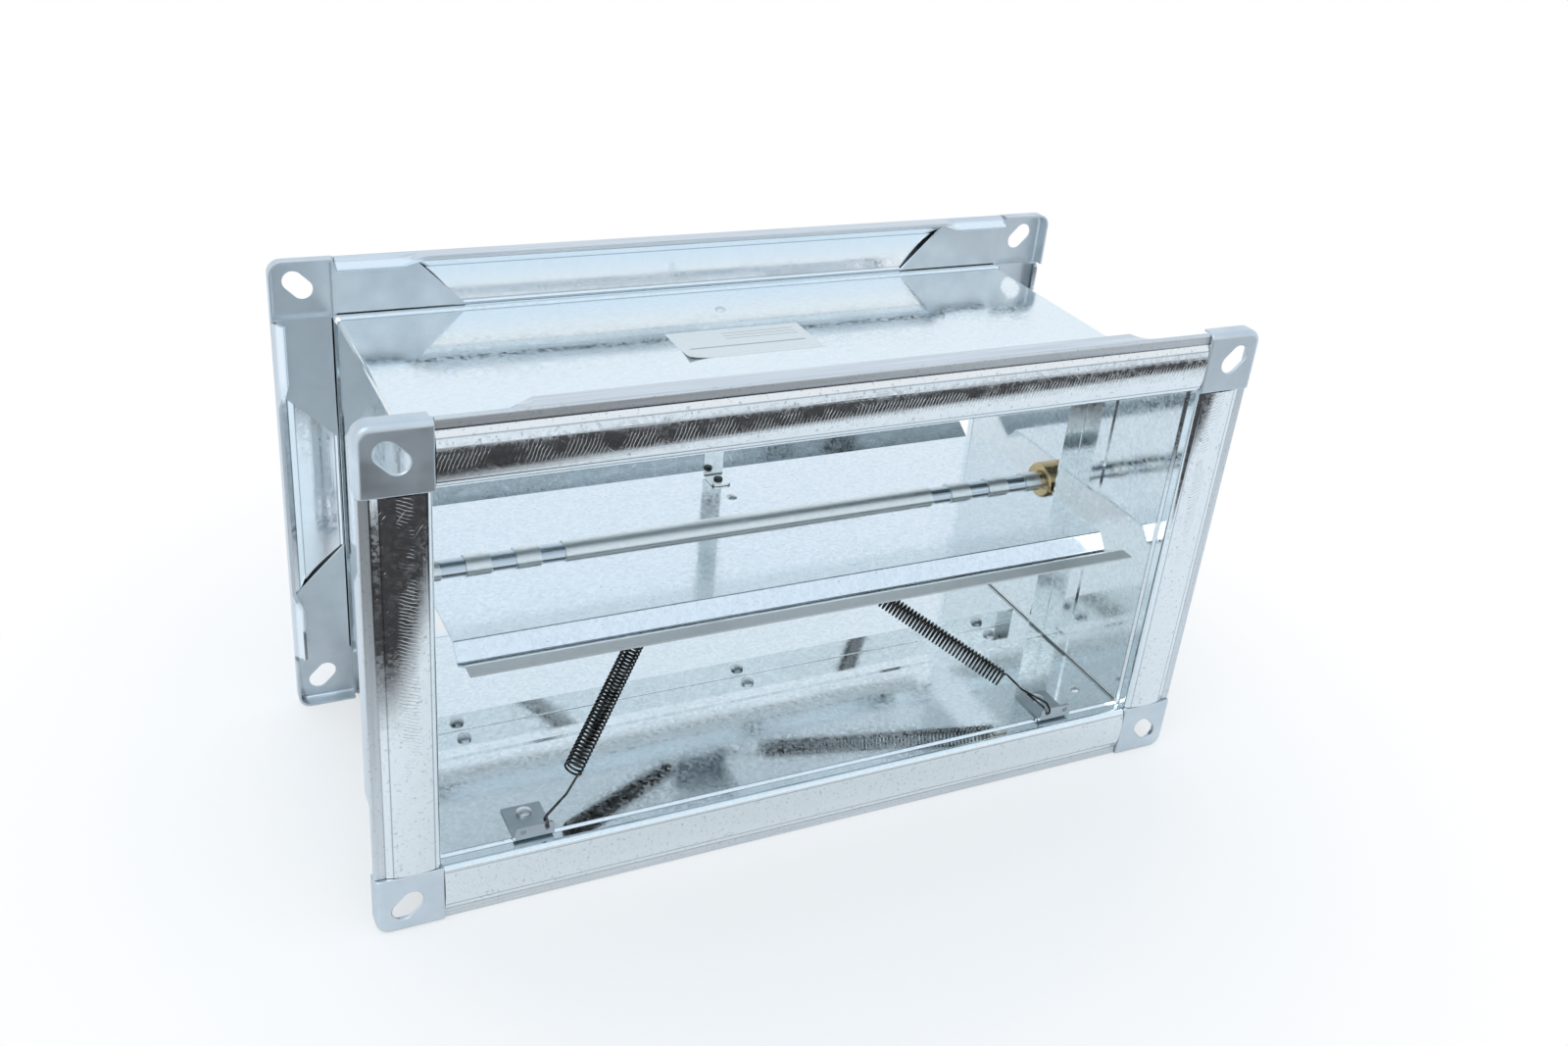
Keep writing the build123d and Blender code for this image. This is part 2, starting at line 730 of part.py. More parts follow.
with BuildPart() as fuse_washer:
    with Locations((0, fuse_y, washer_bottom)):
        Cylinder(
            fuse_washer_diameter / 2,
            fuse_washer_thickness,
            align=(Align.CENTER, Align.CENTER, Align.MIN),
        )
        Cylinder(
            stud_diameter / 2 + solder_gap,
            4 * fuse_washer_thickness,
            mode=Mode.SUBTRACT,
        )
save(fuse_washer, "fuse_washer")


def dome(radius, foot, rise):
    """Round top of a head, from its brim to the axis."""
    ball = (radius * radius + rise * rise) / (2 * rise)
    lean = asin(radius / ball) / 2
    middle = foot + rise - ball
    return ThreePointArc(
        (radius, foot),
        (ball * sin(lean), middle + ball * cos(lean)),
        (0, foot + rise),
    )


def rivet_group(places, grip, name):
    """Dome-head rivets, head up, through a grip below each place."""
    with BuildPart() as one:
        with BuildSketch(Plane.XZ):
            with BuildLine():
                Polyline(
                    (0, rivet_head_height),
                    (0, -grip - rivet_tail_height),
                    (rivet_tail_diameter / 2, -grip - rivet_tail_height),
                    (rivet_tail_diameter / 2, -grip),
                    (rivet_diameter / 2, -grip),
                    (rivet_diameter / 2, 0),
                    (rivet_head_diameter / 2, 0),
                )
                dome(rivet_head_diameter / 2, 0, rivet_head_height)
            make_face()
        revolve(axis=Axis.Z)
    with BuildPart() as group:
        with Locations(*places):
            add(one.part)
    save(group, name)


roof_top = half_height + casing_sheet
rivet_group(
    [(x, top_rivet_y, roof_top) for x in (-stop_rivet_x, stop_rivet_x)],
    casing_sheet + angle_sheet,
    "top_stop_rivets",
)
rivet_group(
    [(0, strap_rivet_y, roof_top)],
    casing_sheet + strap_sheet,
    "strap_rivet",
)
rivet_group(
    [(0, lug_rivet_y, blade_top)],
    blade_sheet + lug_sheet,
    "lug_rivet",
)
rivet_group(
    [(seam_rivet_x, seam_rivet_y, -half_height)],
    casing_sheet,
    "seam_rivet",
)


def screw_group(places, name):
    """Pan-head tapping screws, head up."""
    with BuildPart() as one:
        with BuildSketch(Plane.XZ):
            with BuildLine():
                shank = screw_diameter / 2
                head = screw_head_diameter / 2
                Polyline(
                    (0, screw_head_height),
                    (0, -screw_length),
                    (shank, screw_point - screw_length),
                    (shank, 0),
                    (head, 0),
                    (head, screw_head_height / 2),
                )
                dome(head, screw_head_height / 2, screw_head_height / 2)
            make_face()
        revolve(axis=Axis.Z)
    with BuildPart() as group:
        with Locations(*places):
            add(one.part)
    save(group, name)


screw_group(
    [(x, bottom_screw_y, angle_sheet - half_height) for x in (-stop_screw_x, 0, stop_screw_x)],
    "bottom_stop_screws",
)
screw_group(
    [(x, bracket_screw_y, bracket_sheet - half_height) for x in (-bracket_x, bracket_x)],
    "spring_bracket_screws",
)
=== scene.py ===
import json
import math

import bmesh
import bpy
from mathutils import Matrix, Vector


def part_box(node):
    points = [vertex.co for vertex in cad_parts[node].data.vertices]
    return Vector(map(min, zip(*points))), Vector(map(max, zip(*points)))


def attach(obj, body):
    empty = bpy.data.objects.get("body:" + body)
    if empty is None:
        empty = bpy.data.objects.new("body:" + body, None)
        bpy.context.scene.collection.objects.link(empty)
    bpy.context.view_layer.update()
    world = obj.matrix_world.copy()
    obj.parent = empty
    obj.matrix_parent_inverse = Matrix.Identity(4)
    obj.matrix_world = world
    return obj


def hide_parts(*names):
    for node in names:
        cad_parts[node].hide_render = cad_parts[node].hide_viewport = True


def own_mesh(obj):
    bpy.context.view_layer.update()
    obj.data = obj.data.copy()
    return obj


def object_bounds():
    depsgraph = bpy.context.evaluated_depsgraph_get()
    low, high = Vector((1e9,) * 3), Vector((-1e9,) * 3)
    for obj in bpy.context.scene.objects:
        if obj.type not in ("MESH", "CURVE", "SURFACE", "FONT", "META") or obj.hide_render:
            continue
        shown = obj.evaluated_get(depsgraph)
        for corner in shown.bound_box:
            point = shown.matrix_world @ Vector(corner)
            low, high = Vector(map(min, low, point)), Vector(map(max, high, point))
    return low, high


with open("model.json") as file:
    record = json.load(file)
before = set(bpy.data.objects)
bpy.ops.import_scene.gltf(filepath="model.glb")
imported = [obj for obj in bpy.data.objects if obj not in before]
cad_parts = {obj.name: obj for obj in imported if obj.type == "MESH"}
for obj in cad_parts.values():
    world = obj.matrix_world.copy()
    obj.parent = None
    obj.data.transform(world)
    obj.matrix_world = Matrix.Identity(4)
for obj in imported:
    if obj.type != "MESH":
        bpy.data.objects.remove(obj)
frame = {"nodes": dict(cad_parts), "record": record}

# Rectangular fire damper: the sheet-metal body comes from the frame. This script gives it its finish, winds
# the springs, sticks the blank label on the roof, fills the slit of the lock seam with a dark strip of
# painted shade and sets up a white table with soft light.

cadBox = [list(corner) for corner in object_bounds()]
nodes = frame["nodes"]
mm = 0.001


def linear(hexColour):
    # sRGB hex to the linear colour that shader sockets take
    channels = [int(hexColour[i:i + 2], 16) / 255 for i in (1, 3, 5)]
    return [c / 12.92 if c <= 0.04045 else ((c + 0.055) / 1.055) ** 2.4 for c in channels] + [1.0]


def addNode(tree, kind, inputs=None, **settings):
    # one node with its settings, its values and its links
    node = tree.nodes.new(kind)
    for key, value in settings.items():
        setattr(node, key, value)
    for key, value in (inputs or {}).items():
        if isinstance(value, bpy.types.NodeSocket):
            tree.links.new(value, node.inputs[key])
        else:
            node.inputs[key].default_value = value
    return node


def startMaterial(name):
    material = bpy.data.materials.new(name)
    material.use_nodes = True
    tree = material.node_tree
    tree.nodes.clear()
    shader = addNode(tree, "ShaderNodeBsdfPrincipled")
    addNode(tree, "ShaderNodeOutputMaterial", {"Surface": shader.outputs["BSDF"]})
    place = addNode(tree, "ShaderNodeTexCoord").outputs["Object"]
    return material, tree, shader, place


def perMetre(millimetres):
    # pattern scale for one repeat in this many millimetres
    return 1 / (millimetres * mm)


def wavesPerMetre(millimetres):
    # the same for the wave texture, whose own period is tau / 20
    return math.tau / 20 * perMetre(millimetres)


def inMetres(span):
    return [edge * mm for edge in span]


def noise(tree, place, size, detail):
    return addNode(tree, "ShaderNodeTexNoise",
                   {"Vector": place, "Scale": perMetre(size), "Detail": detail}).outputs["Fac"]


def stretched(tree, place, width, length):
    # draws a pattern out along X
    scale = (width / length, 1.0, 1.0)
    return addNode(tree, "ShaderNodeMapping", {"Vector": place, "Scale": scale}).outputs["Vector"]


def blendColour(tree, factor, first, second):
    node = addNode(tree, "ShaderNodeMix", {"Factor": factor, 6: first, 7: second}, data_type="RGBA")
    return node.outputs[2]


def ramp(tree, value, fromMin, fromMax, toMin, toMax):
    return addNode(tree, "ShaderNodeMapRange", {"Value": value, "From Min": fromMin, "From Max": fromMax,
                                                "To Min": toMin, "To Max": toMax}).outputs[0]


def maths(tree, operation, first, second):
    return addNode(tree, "ShaderNodeMath", {0: first, 1: second}, operation=operation).outputs[0]


def bump(tree, height, millimetres, below=None):
    # relief of a given height, laid over an earlier one
    inputs = {"Height": height, "Strength": 1.0, "Distance": millimetres * mm}
    if below is not None:
        inputs["Normal"] = below
    return addNode(tree, "ShaderNodeBump", inputs).outputs["Normal"]


def dress(tree, shader, colour, roughness, normal):
    tree.links.new(colour, shader.inputs["Base Color"])
    tree.links.new(roughness, shader.inputs["Roughness"])
    tree.links.new(normal, shader.inputs["Normal"])
    shader.inputs["Metallic"].default_value = 1.0


# Hot-dip galvanised sheet: bright zinc with a faint blue in it, frozen in small crystals and rolled so
# smooth that it mirrors what is near. A slow waviness bends the reflections.
zincCoatLook = {
    "pale": "#F0F4F4",
    "deep": "#D4DCDE",
    "crystal": 1.9,          # mm across one zinc crystal
    "frost": 1.1,            # mm, mottling inside the crystals
    "cloud": 38.0,           # mm, from a clear patch to a hazy one
    "glossy": 0.05,
    "dull": 0.20,
    "wave": 90.0,            # mm from one swell of the sheet to the next
    "waveHeight": 0.35,      # mm
    "peel": 1.6,             # mm, orange peel of the coating
    "peelHeight": 0.002,     # mm
    "speck": 0.9,            # mm, dark specks and short rolling lines
    "speckLength": 3.0,      # mm
    "speckTone": "#9AA5AD",
    "speckStep": (0.72, 0.80),
    "speckShare": 0.7,
    "hazeFull": 0.6,
}
# the blade's batch is a little bluer
bladeCoatLook = dict(zincCoatLook, pale="#F1F6F9", deep="#D7E0E6")


def zincCoat(tree, place, look):
    # tone, gloss and relief of the coating
    crystals = addNode(tree, "ShaderNodeTexVoronoi", {"Vector": place, "Scale": perMetre(look["crystal"])})
    crystal = addNode(tree, "ShaderNodeSeparateColor", {"Color": crystals.outputs["Color"]}).outputs
    frost = noise(tree, place, look["frost"], 4.0)
    cloud = noise(tree, place, look["cloud"], 3.0)
    tone = blendColour(tree, maths(tree, "MULTIPLY", crystal["Red"], frost),
                       linear(look["pale"]), linear(look["deep"]))
    specks = noise(tree, stretched(tree, place, look["speck"], look["speckLength"]), look["speck"], 1.0)
    speck = ramp(tree, specks, *look["speckStep"], 0.0, look["speckShare"])
    tone = blendColour(tree, speck, tone, linear(look["speckTone"]))
    haze = maths(tree, "MULTIPLY", crystal["Green"], cloud)
    gloss = ramp(tree, haze, 0.0, look["hazeFull"], look["glossy"], look["dull"])
    waved = bump(tree, noise(tree, place, look["wave"], 1.0), look["waveHeight"])
    relief = bump(tree, noise(tree, place, look["peel"], 2.0), look["peelHeight"], waved)
    return tone, gloss, relief


# The casing's sheet. Its flanges went through the rolls: streaks along each bar, a dull rim, and on the
# outward faces cracked zinc and a row of thin slanted chatter marks. Along the bends run dark lines of
# painted shade and reflection. Each step is where a mask begins and where it is full.
barLook = {
    "skinTone": "#F4FCFF",   # the outside of the duct, a little bluer
    "skinShare": 0.6,
    "skinStep": (-0.6, -0.3),     # mm from the outside of the duct's wall
    "barStep": (1.5, 4.0),        # mm, where a bar begins
    "facingStep": (0.2, 0.4),     # how far a face looks outward
    "streak": 0.8,           # mm between roll streaks
    "streakLength": 60.0,    # mm
    "streakHeight": 0.012,   # mm
    "streakStep": (0.3, 0.7),
    "crack": 1.8,            # mm, specks of cracked zinc
    "crackHeight": 0.008,    # mm
    "crackStep": (0.58, 0.70),
    "worn": "#8E959B",
    "wornShare": 0.4,
    "dull": 0.24,
    "faceTone": "#EDECEB",
    "faceShare": 0.6,
    "backTone": "#F6F9FC",   # the backs kept the bright coat
    "backShare": 0.8,
    "bends": (3.2, 22.9, 26.4),   # mm from the duct's wall, where the sheet is bent
    "mouthBends": (92.3, 94.2),   # mm from the middle along the flow
    # painted shade and reflection: dark lines along the bends, with their half width, tone and share
    "bendShadeHalf": 0.5,         # mm
    "bendShadeTone": "#8B939B",
    "bendShadeShare": 0.8,
    "insideStep": (0.8, 1.2),     # mm from the duct's wall, where the mouth ends
    "rimStep": (26.2, 27.2),      # mm from the duct's wall
    "lipStep": (29.5, 30.5),
    "rimTone": "#BFC2C6",
    "rimShare": 0.7,
    "rimStreak": 0.4,        # part of that share left in the streaks
    "rimRough": 0.4,
    "markPitch": 1.7,        # mm between chatter marks
    "markLean": 22.0,        # degrees
    "markFrom": 10.0,        # mm from the duct's wall
    "markTo": 15.0,
    "markSoft": 3.0,         # mm
    "markPatch": 17.0,       # mm, stretches with marks and without
    "patchStep": (0.38, 0.52),
    "markStep": (0.85, 1.0),
    "markWobble": 4.0,
    "wobbleDetail": 3.0,
    "wobbleScale": 0.9,
    "markHeight": 0.025,     # mm
    "markRough": 0.4,
    "scratch": 0.5,          # mm wide
    "scratchLength": 24.0,   # mm
    "scratchLean": 38.0,     # degrees
    "scratchStep": (0.74, 0.80),
}


def casingSheet(look, bar):
    material, tree, shader, place = startMaterial("galvanisedSheetCasing")
    tone, gloss, relief = zincCoat(tree, place, look)
    # bar coordinates: along the bar, outwards from the duct's wall, and the flow axis
    spot = addNode(tree, "ShaderNodeSeparateXYZ", {"Vector": place}).outputs
    outX = maths(tree, "SUBTRACT", maths(tree, "ABSOLUTE", spot["X"], 0.0), bushWall)
    outZ = maths(tree, "SUBTRACT", maths(tree, "ABSOLUTE", spot["Z"], 0.0), roofWall)
    out = maths(tree, "MAXIMUM", outX, outZ)
    level = maths(tree, "GREATER_THAN", outZ, outX)
    along = addNode(tree, "ShaderNodeMix", {"Factor": level, 2: spot["Z"], 3: spot["X"]}).outputs[0]
    barPlace = addNode(tree, "ShaderNodeCombineXYZ", {"X": along, "Y": out, "Z": spot["Y"]}).outputs["Vector"]
    onBar = ramp(tree, out, *inMetres(bar["barStep"]), 0.0, 1.0)
    skin = ramp(tree, out, *inMetres(bar["skinStep"]), 0.0, bar["skinShare"])
    tone = blendColour(tree, skin, tone, linear(bar["skinTone"]))
    # the outward side of a bar faces away from the middle of the duct
    facing = addNode(tree, "ShaderNodeTexCoord").outputs["Normal"]
    lean = addNode(tree, "ShaderNodeSeparateXYZ", {"Vector": facing}).outputs["Y"]
    end = maths(tree, "SIGN", spot["Y"], 0.0)
    outward = ramp(tree, maths(tree, "MULTIPLY", lean, end), *bar["facingStep"], 0.0, 1.0)
    onFace = maths(tree, "MULTIPLY", onBar, outward)
    streakPlace = stretched(tree, barPlace, bar["streak"], bar["streakLength"])
    streak = noise(tree, streakPlace, bar["streak"], 3.0)
    crack = noise(tree, place, bar["crack"], 5.0)
    # chatter marks: thin slanted lines in a band of the bowed face, broken into stretches
    leaning = addNode(tree, "ShaderNodeMapping", {"Vector": barPlace,
                                                  "Rotation": (0, 0, math.radians(bar["markLean"]))})
    wave = addNode(tree, "ShaderNodeTexWave",
                   {"Vector": leaning.outputs["Vector"], "Scale": wavesPerMetre(bar["markPitch"]),
                    "Distortion": bar["markWobble"], "Detail": bar["wobbleDetail"],
                    "Detail Scale": bar["wobbleScale"]})
    line = ramp(tree, wave.outputs["Fac"], *bar["markStep"], 0.0, 1.0)
    soft = bar["markSoft"]
    rise = ramp(tree, out, (bar["markFrom"] - soft) * mm, bar["markFrom"] * mm, 0.0, 1.0)
    fall = ramp(tree, out, bar["markTo"] * mm, (bar["markTo"] + soft) * mm, 1.0, 0.0)
    patch = ramp(tree, noise(tree, barPlace, bar["markPatch"], 3.0), *bar["patchStep"], 0.0, 1.0)
    stretches = maths(tree, "MULTIPLY", patch, onFace)
    band = maths(tree, "MULTIPLY", maths(tree, "MULTIPLY", rise, fall), stretches)
    mark = maths(tree, "MULTIPLY", line, band)
    # a few long scratches across the same face
    slanted = addNode(tree, "ShaderNodeMapping", {"Vector": barPlace,
                                                  "Rotation": (0, 0, math.radians(bar["scratchLean"]))})
    scratchPlace = stretched(tree, slanted.outputs["Vector"], bar["scratch"], bar["scratchLength"])
    scratch = ramp(tree, noise(tree, scratchPlace, bar["scratch"], 1.0), *bar["scratchStep"], 0.0, 1.0)
    mark = maths(tree, "MAXIMUM", mark, maths(tree, "MULTIPLY", scratch, onFace))
    # on the bars the coating is worn, streaked and marked and the rim is dull; the bends get dark lines of
    # painted shade and reflection
    wear = maths(tree, "MULTIPLY", onFace, ramp(tree, crack, *bar["crackStep"], 0.0, 1.0))
    onRim = maths(tree, "MULTIPLY", onFace, ramp(tree, out, *inMetres(bar["rimStep"]), 0.0, 1.0))
    onRim = maths(tree, "MAXIMUM", onRim, ramp(tree, out, *inMetres(bar["lipStep"]), 0.0, 1.0))
    rimShare = ramp(tree, streak, *bar["streakStep"], bar["rimShare"], bar["rimStreak"] * bar["rimShare"])
    layers = (
        (maths(tree, "SUBTRACT", onBar, onFace), bar["backShare"], bar["backTone"]),
        (onFace, bar["faceShare"], bar["faceTone"]),
        (wear, bar["wornShare"], bar["worn"]),
        (onRim, rimShare, bar["rimTone"]),
    )
    colour = tone
    for mask, share, layerTone in layers:
        colour = blendColour(tree, maths(tree, "MULTIPLY", mask, share), colour, linear(layerTone))
    # painted shade and reflection: a dark line along each bend of the bars and of the mouth
    bent = maths(tree, "MAXIMUM", outward, onBar)
    inside = ramp(tree, out, *inMetres(bar["insideStep"]), 1.0, 0.0)
    flow = maths(tree, "ABSOLUTE", spot["Y"], 0.0)
    shadedFolds = [(out, bend, bent) for bend in bar["bends"]]
    shadedFolds += [(flow, bend, inside) for bend in bar["mouthBends"]]
    for way, bend, where in shadedFolds:
        offBend = maths(tree, "ABSOLUTE", maths(tree, "SUBTRACT", way, bend * mm), 0.0)
        nearBendShade = ramp(tree, offBend, 0.0, bar["bendShadeHalf"] * mm, bar["bendShadeShare"], 0.0)
        onBendShade = maths(tree, "MULTIPLY", where, nearBendShade)
        colour = blendColour(tree, onBendShade, colour, linear(bar["bendShadeTone"]))
    rough = maths(tree, "MAXIMUM", gloss, ramp(tree, wear, 0.0, 1.0, 0.0, bar["dull"]))
    rough = maths(tree, "MAXIMUM", rough, ramp(tree, onRim, 0.0, 1.0, 0.0, bar["rimRough"]))
    rough = maths(tree, "MAXIMUM", rough, ramp(tree, mark, 0.0, 1.0, 0.0, bar["markRough"]))
    relief = bump(tree, maths(tree, "MULTIPLY", streak, onBar), bar["streakHeight"], relief)
    relief = bump(tree, maths(tree, "MULTIPLY", crack, onFace), bar["crackHeight"], relief)
    relief = bump(tree, mark, bar["markHeight"], relief)
    dress(tree, shader, colour, rough, relief)
    return material


# The blade's sheet: the same coat, crazed and dull where it was pressed over and under the shaft, with a few
# rubbed dashes along the shaft and greyer long edges.
ribLook = {
    "reach": 9.0,            # mm from the shaft's axis
    "soft": 1.5,             # mm
    "dull": 0.50,
    "tone": "#EEF3F2",
    "grain": 3.0,            # mm
    "grainStep": (0.25, 0.7),
    "grainLeast": 0.6,
    "dash": 0.8,             # mm wide
    "dashLength": 16.0,      # mm
    "dashTone": "#B4BEC4",
    "dashStep": (0.70, 0.78),
    "dashShare": 0.6,
    "edgeStep": (87.0, 88.0),     # mm from the shaft's axis, the folded long edges
    "edgeTone": "#B9BCBB",
    "edgeShare": 0.75,
    "edgeDull": 0.5,
}


def bladeSheet(look, rib):
    material, tree, shader, place = startMaterial("galvanisedSheetBlade")
    tone, gloss, relief = zincCoat(tree, place, look)
    spot = addNode(tree, "ShaderNodeSeparateXYZ", {"Vector": place}).outputs
    away = maths(tree, "ABSOLUTE", spot["Y"], 0.0)
    onRib = ramp(tree, away, rib["reach"] * mm, (rib["reach"] + rib["soft"]) * mm, 1.0, 0.0)
    grain = noise(tree, place, rib["grain"], 4.0)
    dull = maths(tree, "MULTIPLY", onRib, ramp(tree, grain, *rib["grainStep"], 1.0, rib["grainLeast"]))
    dashPlace = stretched(tree, place, rib["dash"], rib["dashLength"])
    dash = ramp(tree, noise(tree, dashPlace, rib["dash"], 2.0), *rib["dashStep"], 0.0, rib["dashShare"])
    colour = blendColour(tree, dash, tone, linear(rib["dashTone"]))
    colour = blendColour(tree, dull, colour, linear(rib["tone"]))
    onEdge = ramp(tree, away, *inMetres(rib["edgeStep"]), 0.0, rib["edgeShare"])
    colour = blendColour(tree, onEdge, colour, linear(rib["edgeTone"]))
    rough = maths(tree, "MAXIMUM", gloss, ramp(tree, dull, 0.0, 1.0, 0.0, rib["dull"]))
    rough = maths(tree, "MAXIMUM", rough, ramp(tree, onEdge, 0.0, 1.0, 0.0, rib["edgeDull"]))
    dress(tree, shader, colour, rough, relief)
    return material


# Electro-zinc plated pressings: finer and duller than the sheet, a blue-grey bloom with rubbed patches. The
# small folded tabs are a darker batch than the corner plates.
zincLook = {
    "name": "zincPlatedPressing",
    "pale": "#E3E9EC",
    "deep": "#C2CBD2",
    "bloom": 16.0,           # mm
    "bloomStep": (0.3, 0.7),
    "grit": 0.8,             # mm
    "glossy": 0.30,
    "dull": 0.45,
    "gritHeight": 0.012,     # mm
}
tabLook = dict(zincLook, name="zincPlatedTab", pale="#C6CDD1", deep="#9EA8AE", glossy=0.28)


def zincPlate(look):
    material, tree, shader, place = startMaterial(look["name"])
    bloom = noise(tree, place, look["bloom"], 6.0)
    colour = blendColour(tree, bloom, linear(look["pale"]), linear(look["deep"]))
    rough = ramp(tree, bloom, *look["bloomStep"], look["glossy"], look["dull"])
    dress(tree, shader, colour, rough, bump(tree, noise(tree, place, look["grit"], 2.0), look["gritHeight"]))
    return material


# Turned brass: warm yellow metal with fine rings from the lathe.
brassLook = {"pale": "#DFCBA0", "deep": "#B0966A", "glossy": 0.16, "dull": 0.4, "wobble": 0.6,
             "ring": 0.9, "stain": 6.0, "ringHeight": 0.012}   # mm


def turnedBrass(look):
    material, tree, shader, place = startMaterial("turnedBrass")
    rings = addNode(tree, "ShaderNodeTexWave",
                    {"Vector": place, "Scale": wavesPerMetre(look["ring"]), "Distortion": look["wobble"]},
                    wave_type="RINGS", rings_direction="X")
    stain = noise(tree, place, look["stain"], 4.0)
    colour = blendColour(tree, stain, linear(look["pale"]), linear(look["deep"]))
    rough = ramp(tree, stain, 0.0, 1.0, look["glossy"], look["dull"])
    dress(tree, shader, colour, rough, bump(tree, rings.outputs["Fac"], look["ringHeight"]))
    return material


# Drawn bright steel: long straight draw lines along the shaft.
drawnLook = {"pale": "#DCE6EE", "deep": "#AEBBC6", "glossy": 0.10, "dull": 0.28,
             "line": 0.6, "along": 60.0, "lineHeight": 0.008}   # mm


def drawnSteel(look):
    material, tree, shader, place = startMaterial("drawnBrightSteel")
    lines = noise(tree, stretched(tree, place, look["line"], look["along"]), look["line"], 4.0)
    colour = blendColour(tree, lines, linear(look["pale"]), linear(look["deep"]))
    rough = ramp(tree, lines, 0.0, 1.0, look["glossy"], look["dull"])
    dress(tree, shader, colour, rough, bump(tree, lines, look["lineHeight"]))
    return material


# Oil-blackened spring wire: dark drawn steel, rubbed bright in places.
springLook = {"oil": "#2B2A2A", "rubbed": "#6A6865", "rubbedStep": (0.45, 0.75), "glossy": 0.24, "dull": 0.42,
              "patch": 5.0, "grain": 0.5, "grainHeight": 0.008}   # mm


def springWire(look):
    material, tree, shader, place = startMaterial("oilBlackenedSpringSteel")
    patch = noise(tree, place, look["patch"], 5.0)
    rubbed = ramp(tree, patch, *look["rubbedStep"], 0.0, 1.0)
    colour = blendColour(tree, rubbed, linear(look["oil"]), linear(look["rubbed"]))
    rough = ramp(tree, patch, 0.0, 1.0, look["dull"], look["glossy"])
    grain = noise(tree, place, look["grain"], 2.0)
    dress(tree, shader, colour, rough, bump(tree, grain, look["grainHeight"]))
    return material


# Bright zinc on rivets and screws, and dull solder on the fuse's stud.
fastenerLook = {"name": "brightZincFastener", "pale": "#F4F6F8", "deep": "#CDD5DA", "patch": 2.0,
                "glossy": 0.28, "dull": 0.45, "dentHeight": 0.02}
solderLook = {"name": "dullSolder", "pale": "#5C6064", "deep": "#33363A", "patch": 1.5,
              "glossy": 0.35, "dull": 0.6, "dentHeight": 0.04}


def smallMetal(look):
    material, tree, shader, place = startMaterial(look["name"])
    patch = noise(tree, place, look["patch"], 4.0)
    colour = blendColour(tree, patch, linear(look["pale"]), linear(look["deep"]))
    rough = ramp(tree, patch, 0.0, 1.0, look["glossy"], look["dull"])
    dress(tree, shader, colour, rough, bump(tree, patch, look["dentHeight"]))
    return material


# Outer faces of the duct's walls, where the flanges start
past = {"strap_rivet": 1.4, "right_bush": 1.5}   # mm that these stand out of the walls
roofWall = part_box("strap_rivet")[1].z - past["strap_rivet"] * mm
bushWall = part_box("right_bush")[1].x - past["right_bush"] * mm

springSteel = springWire(springLook)
finishes = {
    "galvanised_sheet": casingSheet(zincCoatLook, barLook),
    "zinc_plated_plate": zincPlate(zincLook),
    "brass": turnedBrass(brassLook),
    "bright_steel": drawnSteel(drawnLook),
    "spring_steel": springSteel,
    "zinc_fastener": smallMetal(fastenerLook),
}
ownFinish = {"blade": bladeSheet(bladeCoatLook, ribLook), "fuse_stud": smallMetal(solderLook)}
tabs = ("left_spring_bracket", "right_spring_bracket", "spring_lug")
ownFinish.update(dict.fromkeys(tabs, zincPlate(tabLook)))
ownFinish["hold_open_strap"] = finishes["galvanised_sheet"]
for row in frame["record"]["subparts"]:
    mesh = nodes[row["node"]].data
    mesh.materials.clear()
    mesh.materials.append(ownFinish.get(row["node"], finishes[row["material_slot"]]))
print("finishes set on", len(nodes), "nodes")


def finishPiece(name, bm, materials, smooth):
    bmesh.ops.recalc_face_normals(bm, faces=bm.faces)
    mesh = bpy.data.meshes.new(name)
    bm.to_mesh(mesh)
    bm.free()
    for material in materials:
        mesh.materials.append(material)
    if smooth:
        mesh.shade_smooth()
    piece = bpy.data.objects.new(name, mesh)
    bpy.context.scene.collection.objects.link(piece)
    return piece


# Closing springs, wound from one length of wire: hook, straight end, coil, straight end, hook
spring = {
    "wire": 1.2,             # mm
    "coil": 10.4,            # mm outside
    "pitch": 2.3,            # mm, stretched while the blade is open
    "sides": 8,
    "stepsPerTurn": 18,
    "straight": 31.0,        # mm from a hook's centre to the coil
    "eye": 2.3,              # mm, mean radius of the hook
    "eyeSteps": 16,
    "holeEdge": 3.0,         # mm, holes' centres from the sheet's edge
    "lead": 3.0,             # mm, straight run into the hook's round end
    "tail": 18.0,            # mm from the hook's centre to where its legs meet
    "legEnd": 0.75,          # share of the leg that the free end runs back
    "bend": 1.5,             # mm, other bends of the wire
    "lastTurn": {"left": 0.0, "right": 0.5},   # share of a turn, so that both upper hooks meet the lug alike
    "holeSpread": 6.0,       # mm, bracket hole from the bracket's middle
    "lugSpread": 12.0,       # mm, lug hole from the lug's middle
    "halfSheet": 0.6,        # mm
}


def ringOf(result):
    kinds = (bmesh.types.BMEdge, bmesh.types.BMVert)
    return [part for part in result["geom_last"] if isinstance(part, kinds)]


def edgesOf(parts):
    return [part for part in parts if isinstance(part, bmesh.types.BMEdge)]


def runWire(bm, ring, pos, heading, length):
    # draws the wire's end straight on
    made = bmesh.ops.extrude_edge_only(bm, edges=edgesOf(ring))["geom"]
    verts = [part for part in made if isinstance(part, bmesh.types.BMVert)]
    bmesh.ops.translate(bm, vec=heading * length, verts=verts)
    newEdges = [edge for edge in edgesOf(made) if all(v in verts for v in edge.verts)]
    return verts + newEdges, pos + heading * length


def turnWire(bm, ring, pos, heading, axis, radius, angle, steps):
    # bends the wire's end about an axis square to it
    centre = pos + axis.cross(heading) * radius
    made = bmesh.ops.spin(bm, geom=ring, cent=centre, axis=axis, angle=angle, steps=steps)
    turn = Matrix.Rotation(angle, 3, axis)
    return ringOf(made), centre + turn @ (pos - centre), turn @ heading


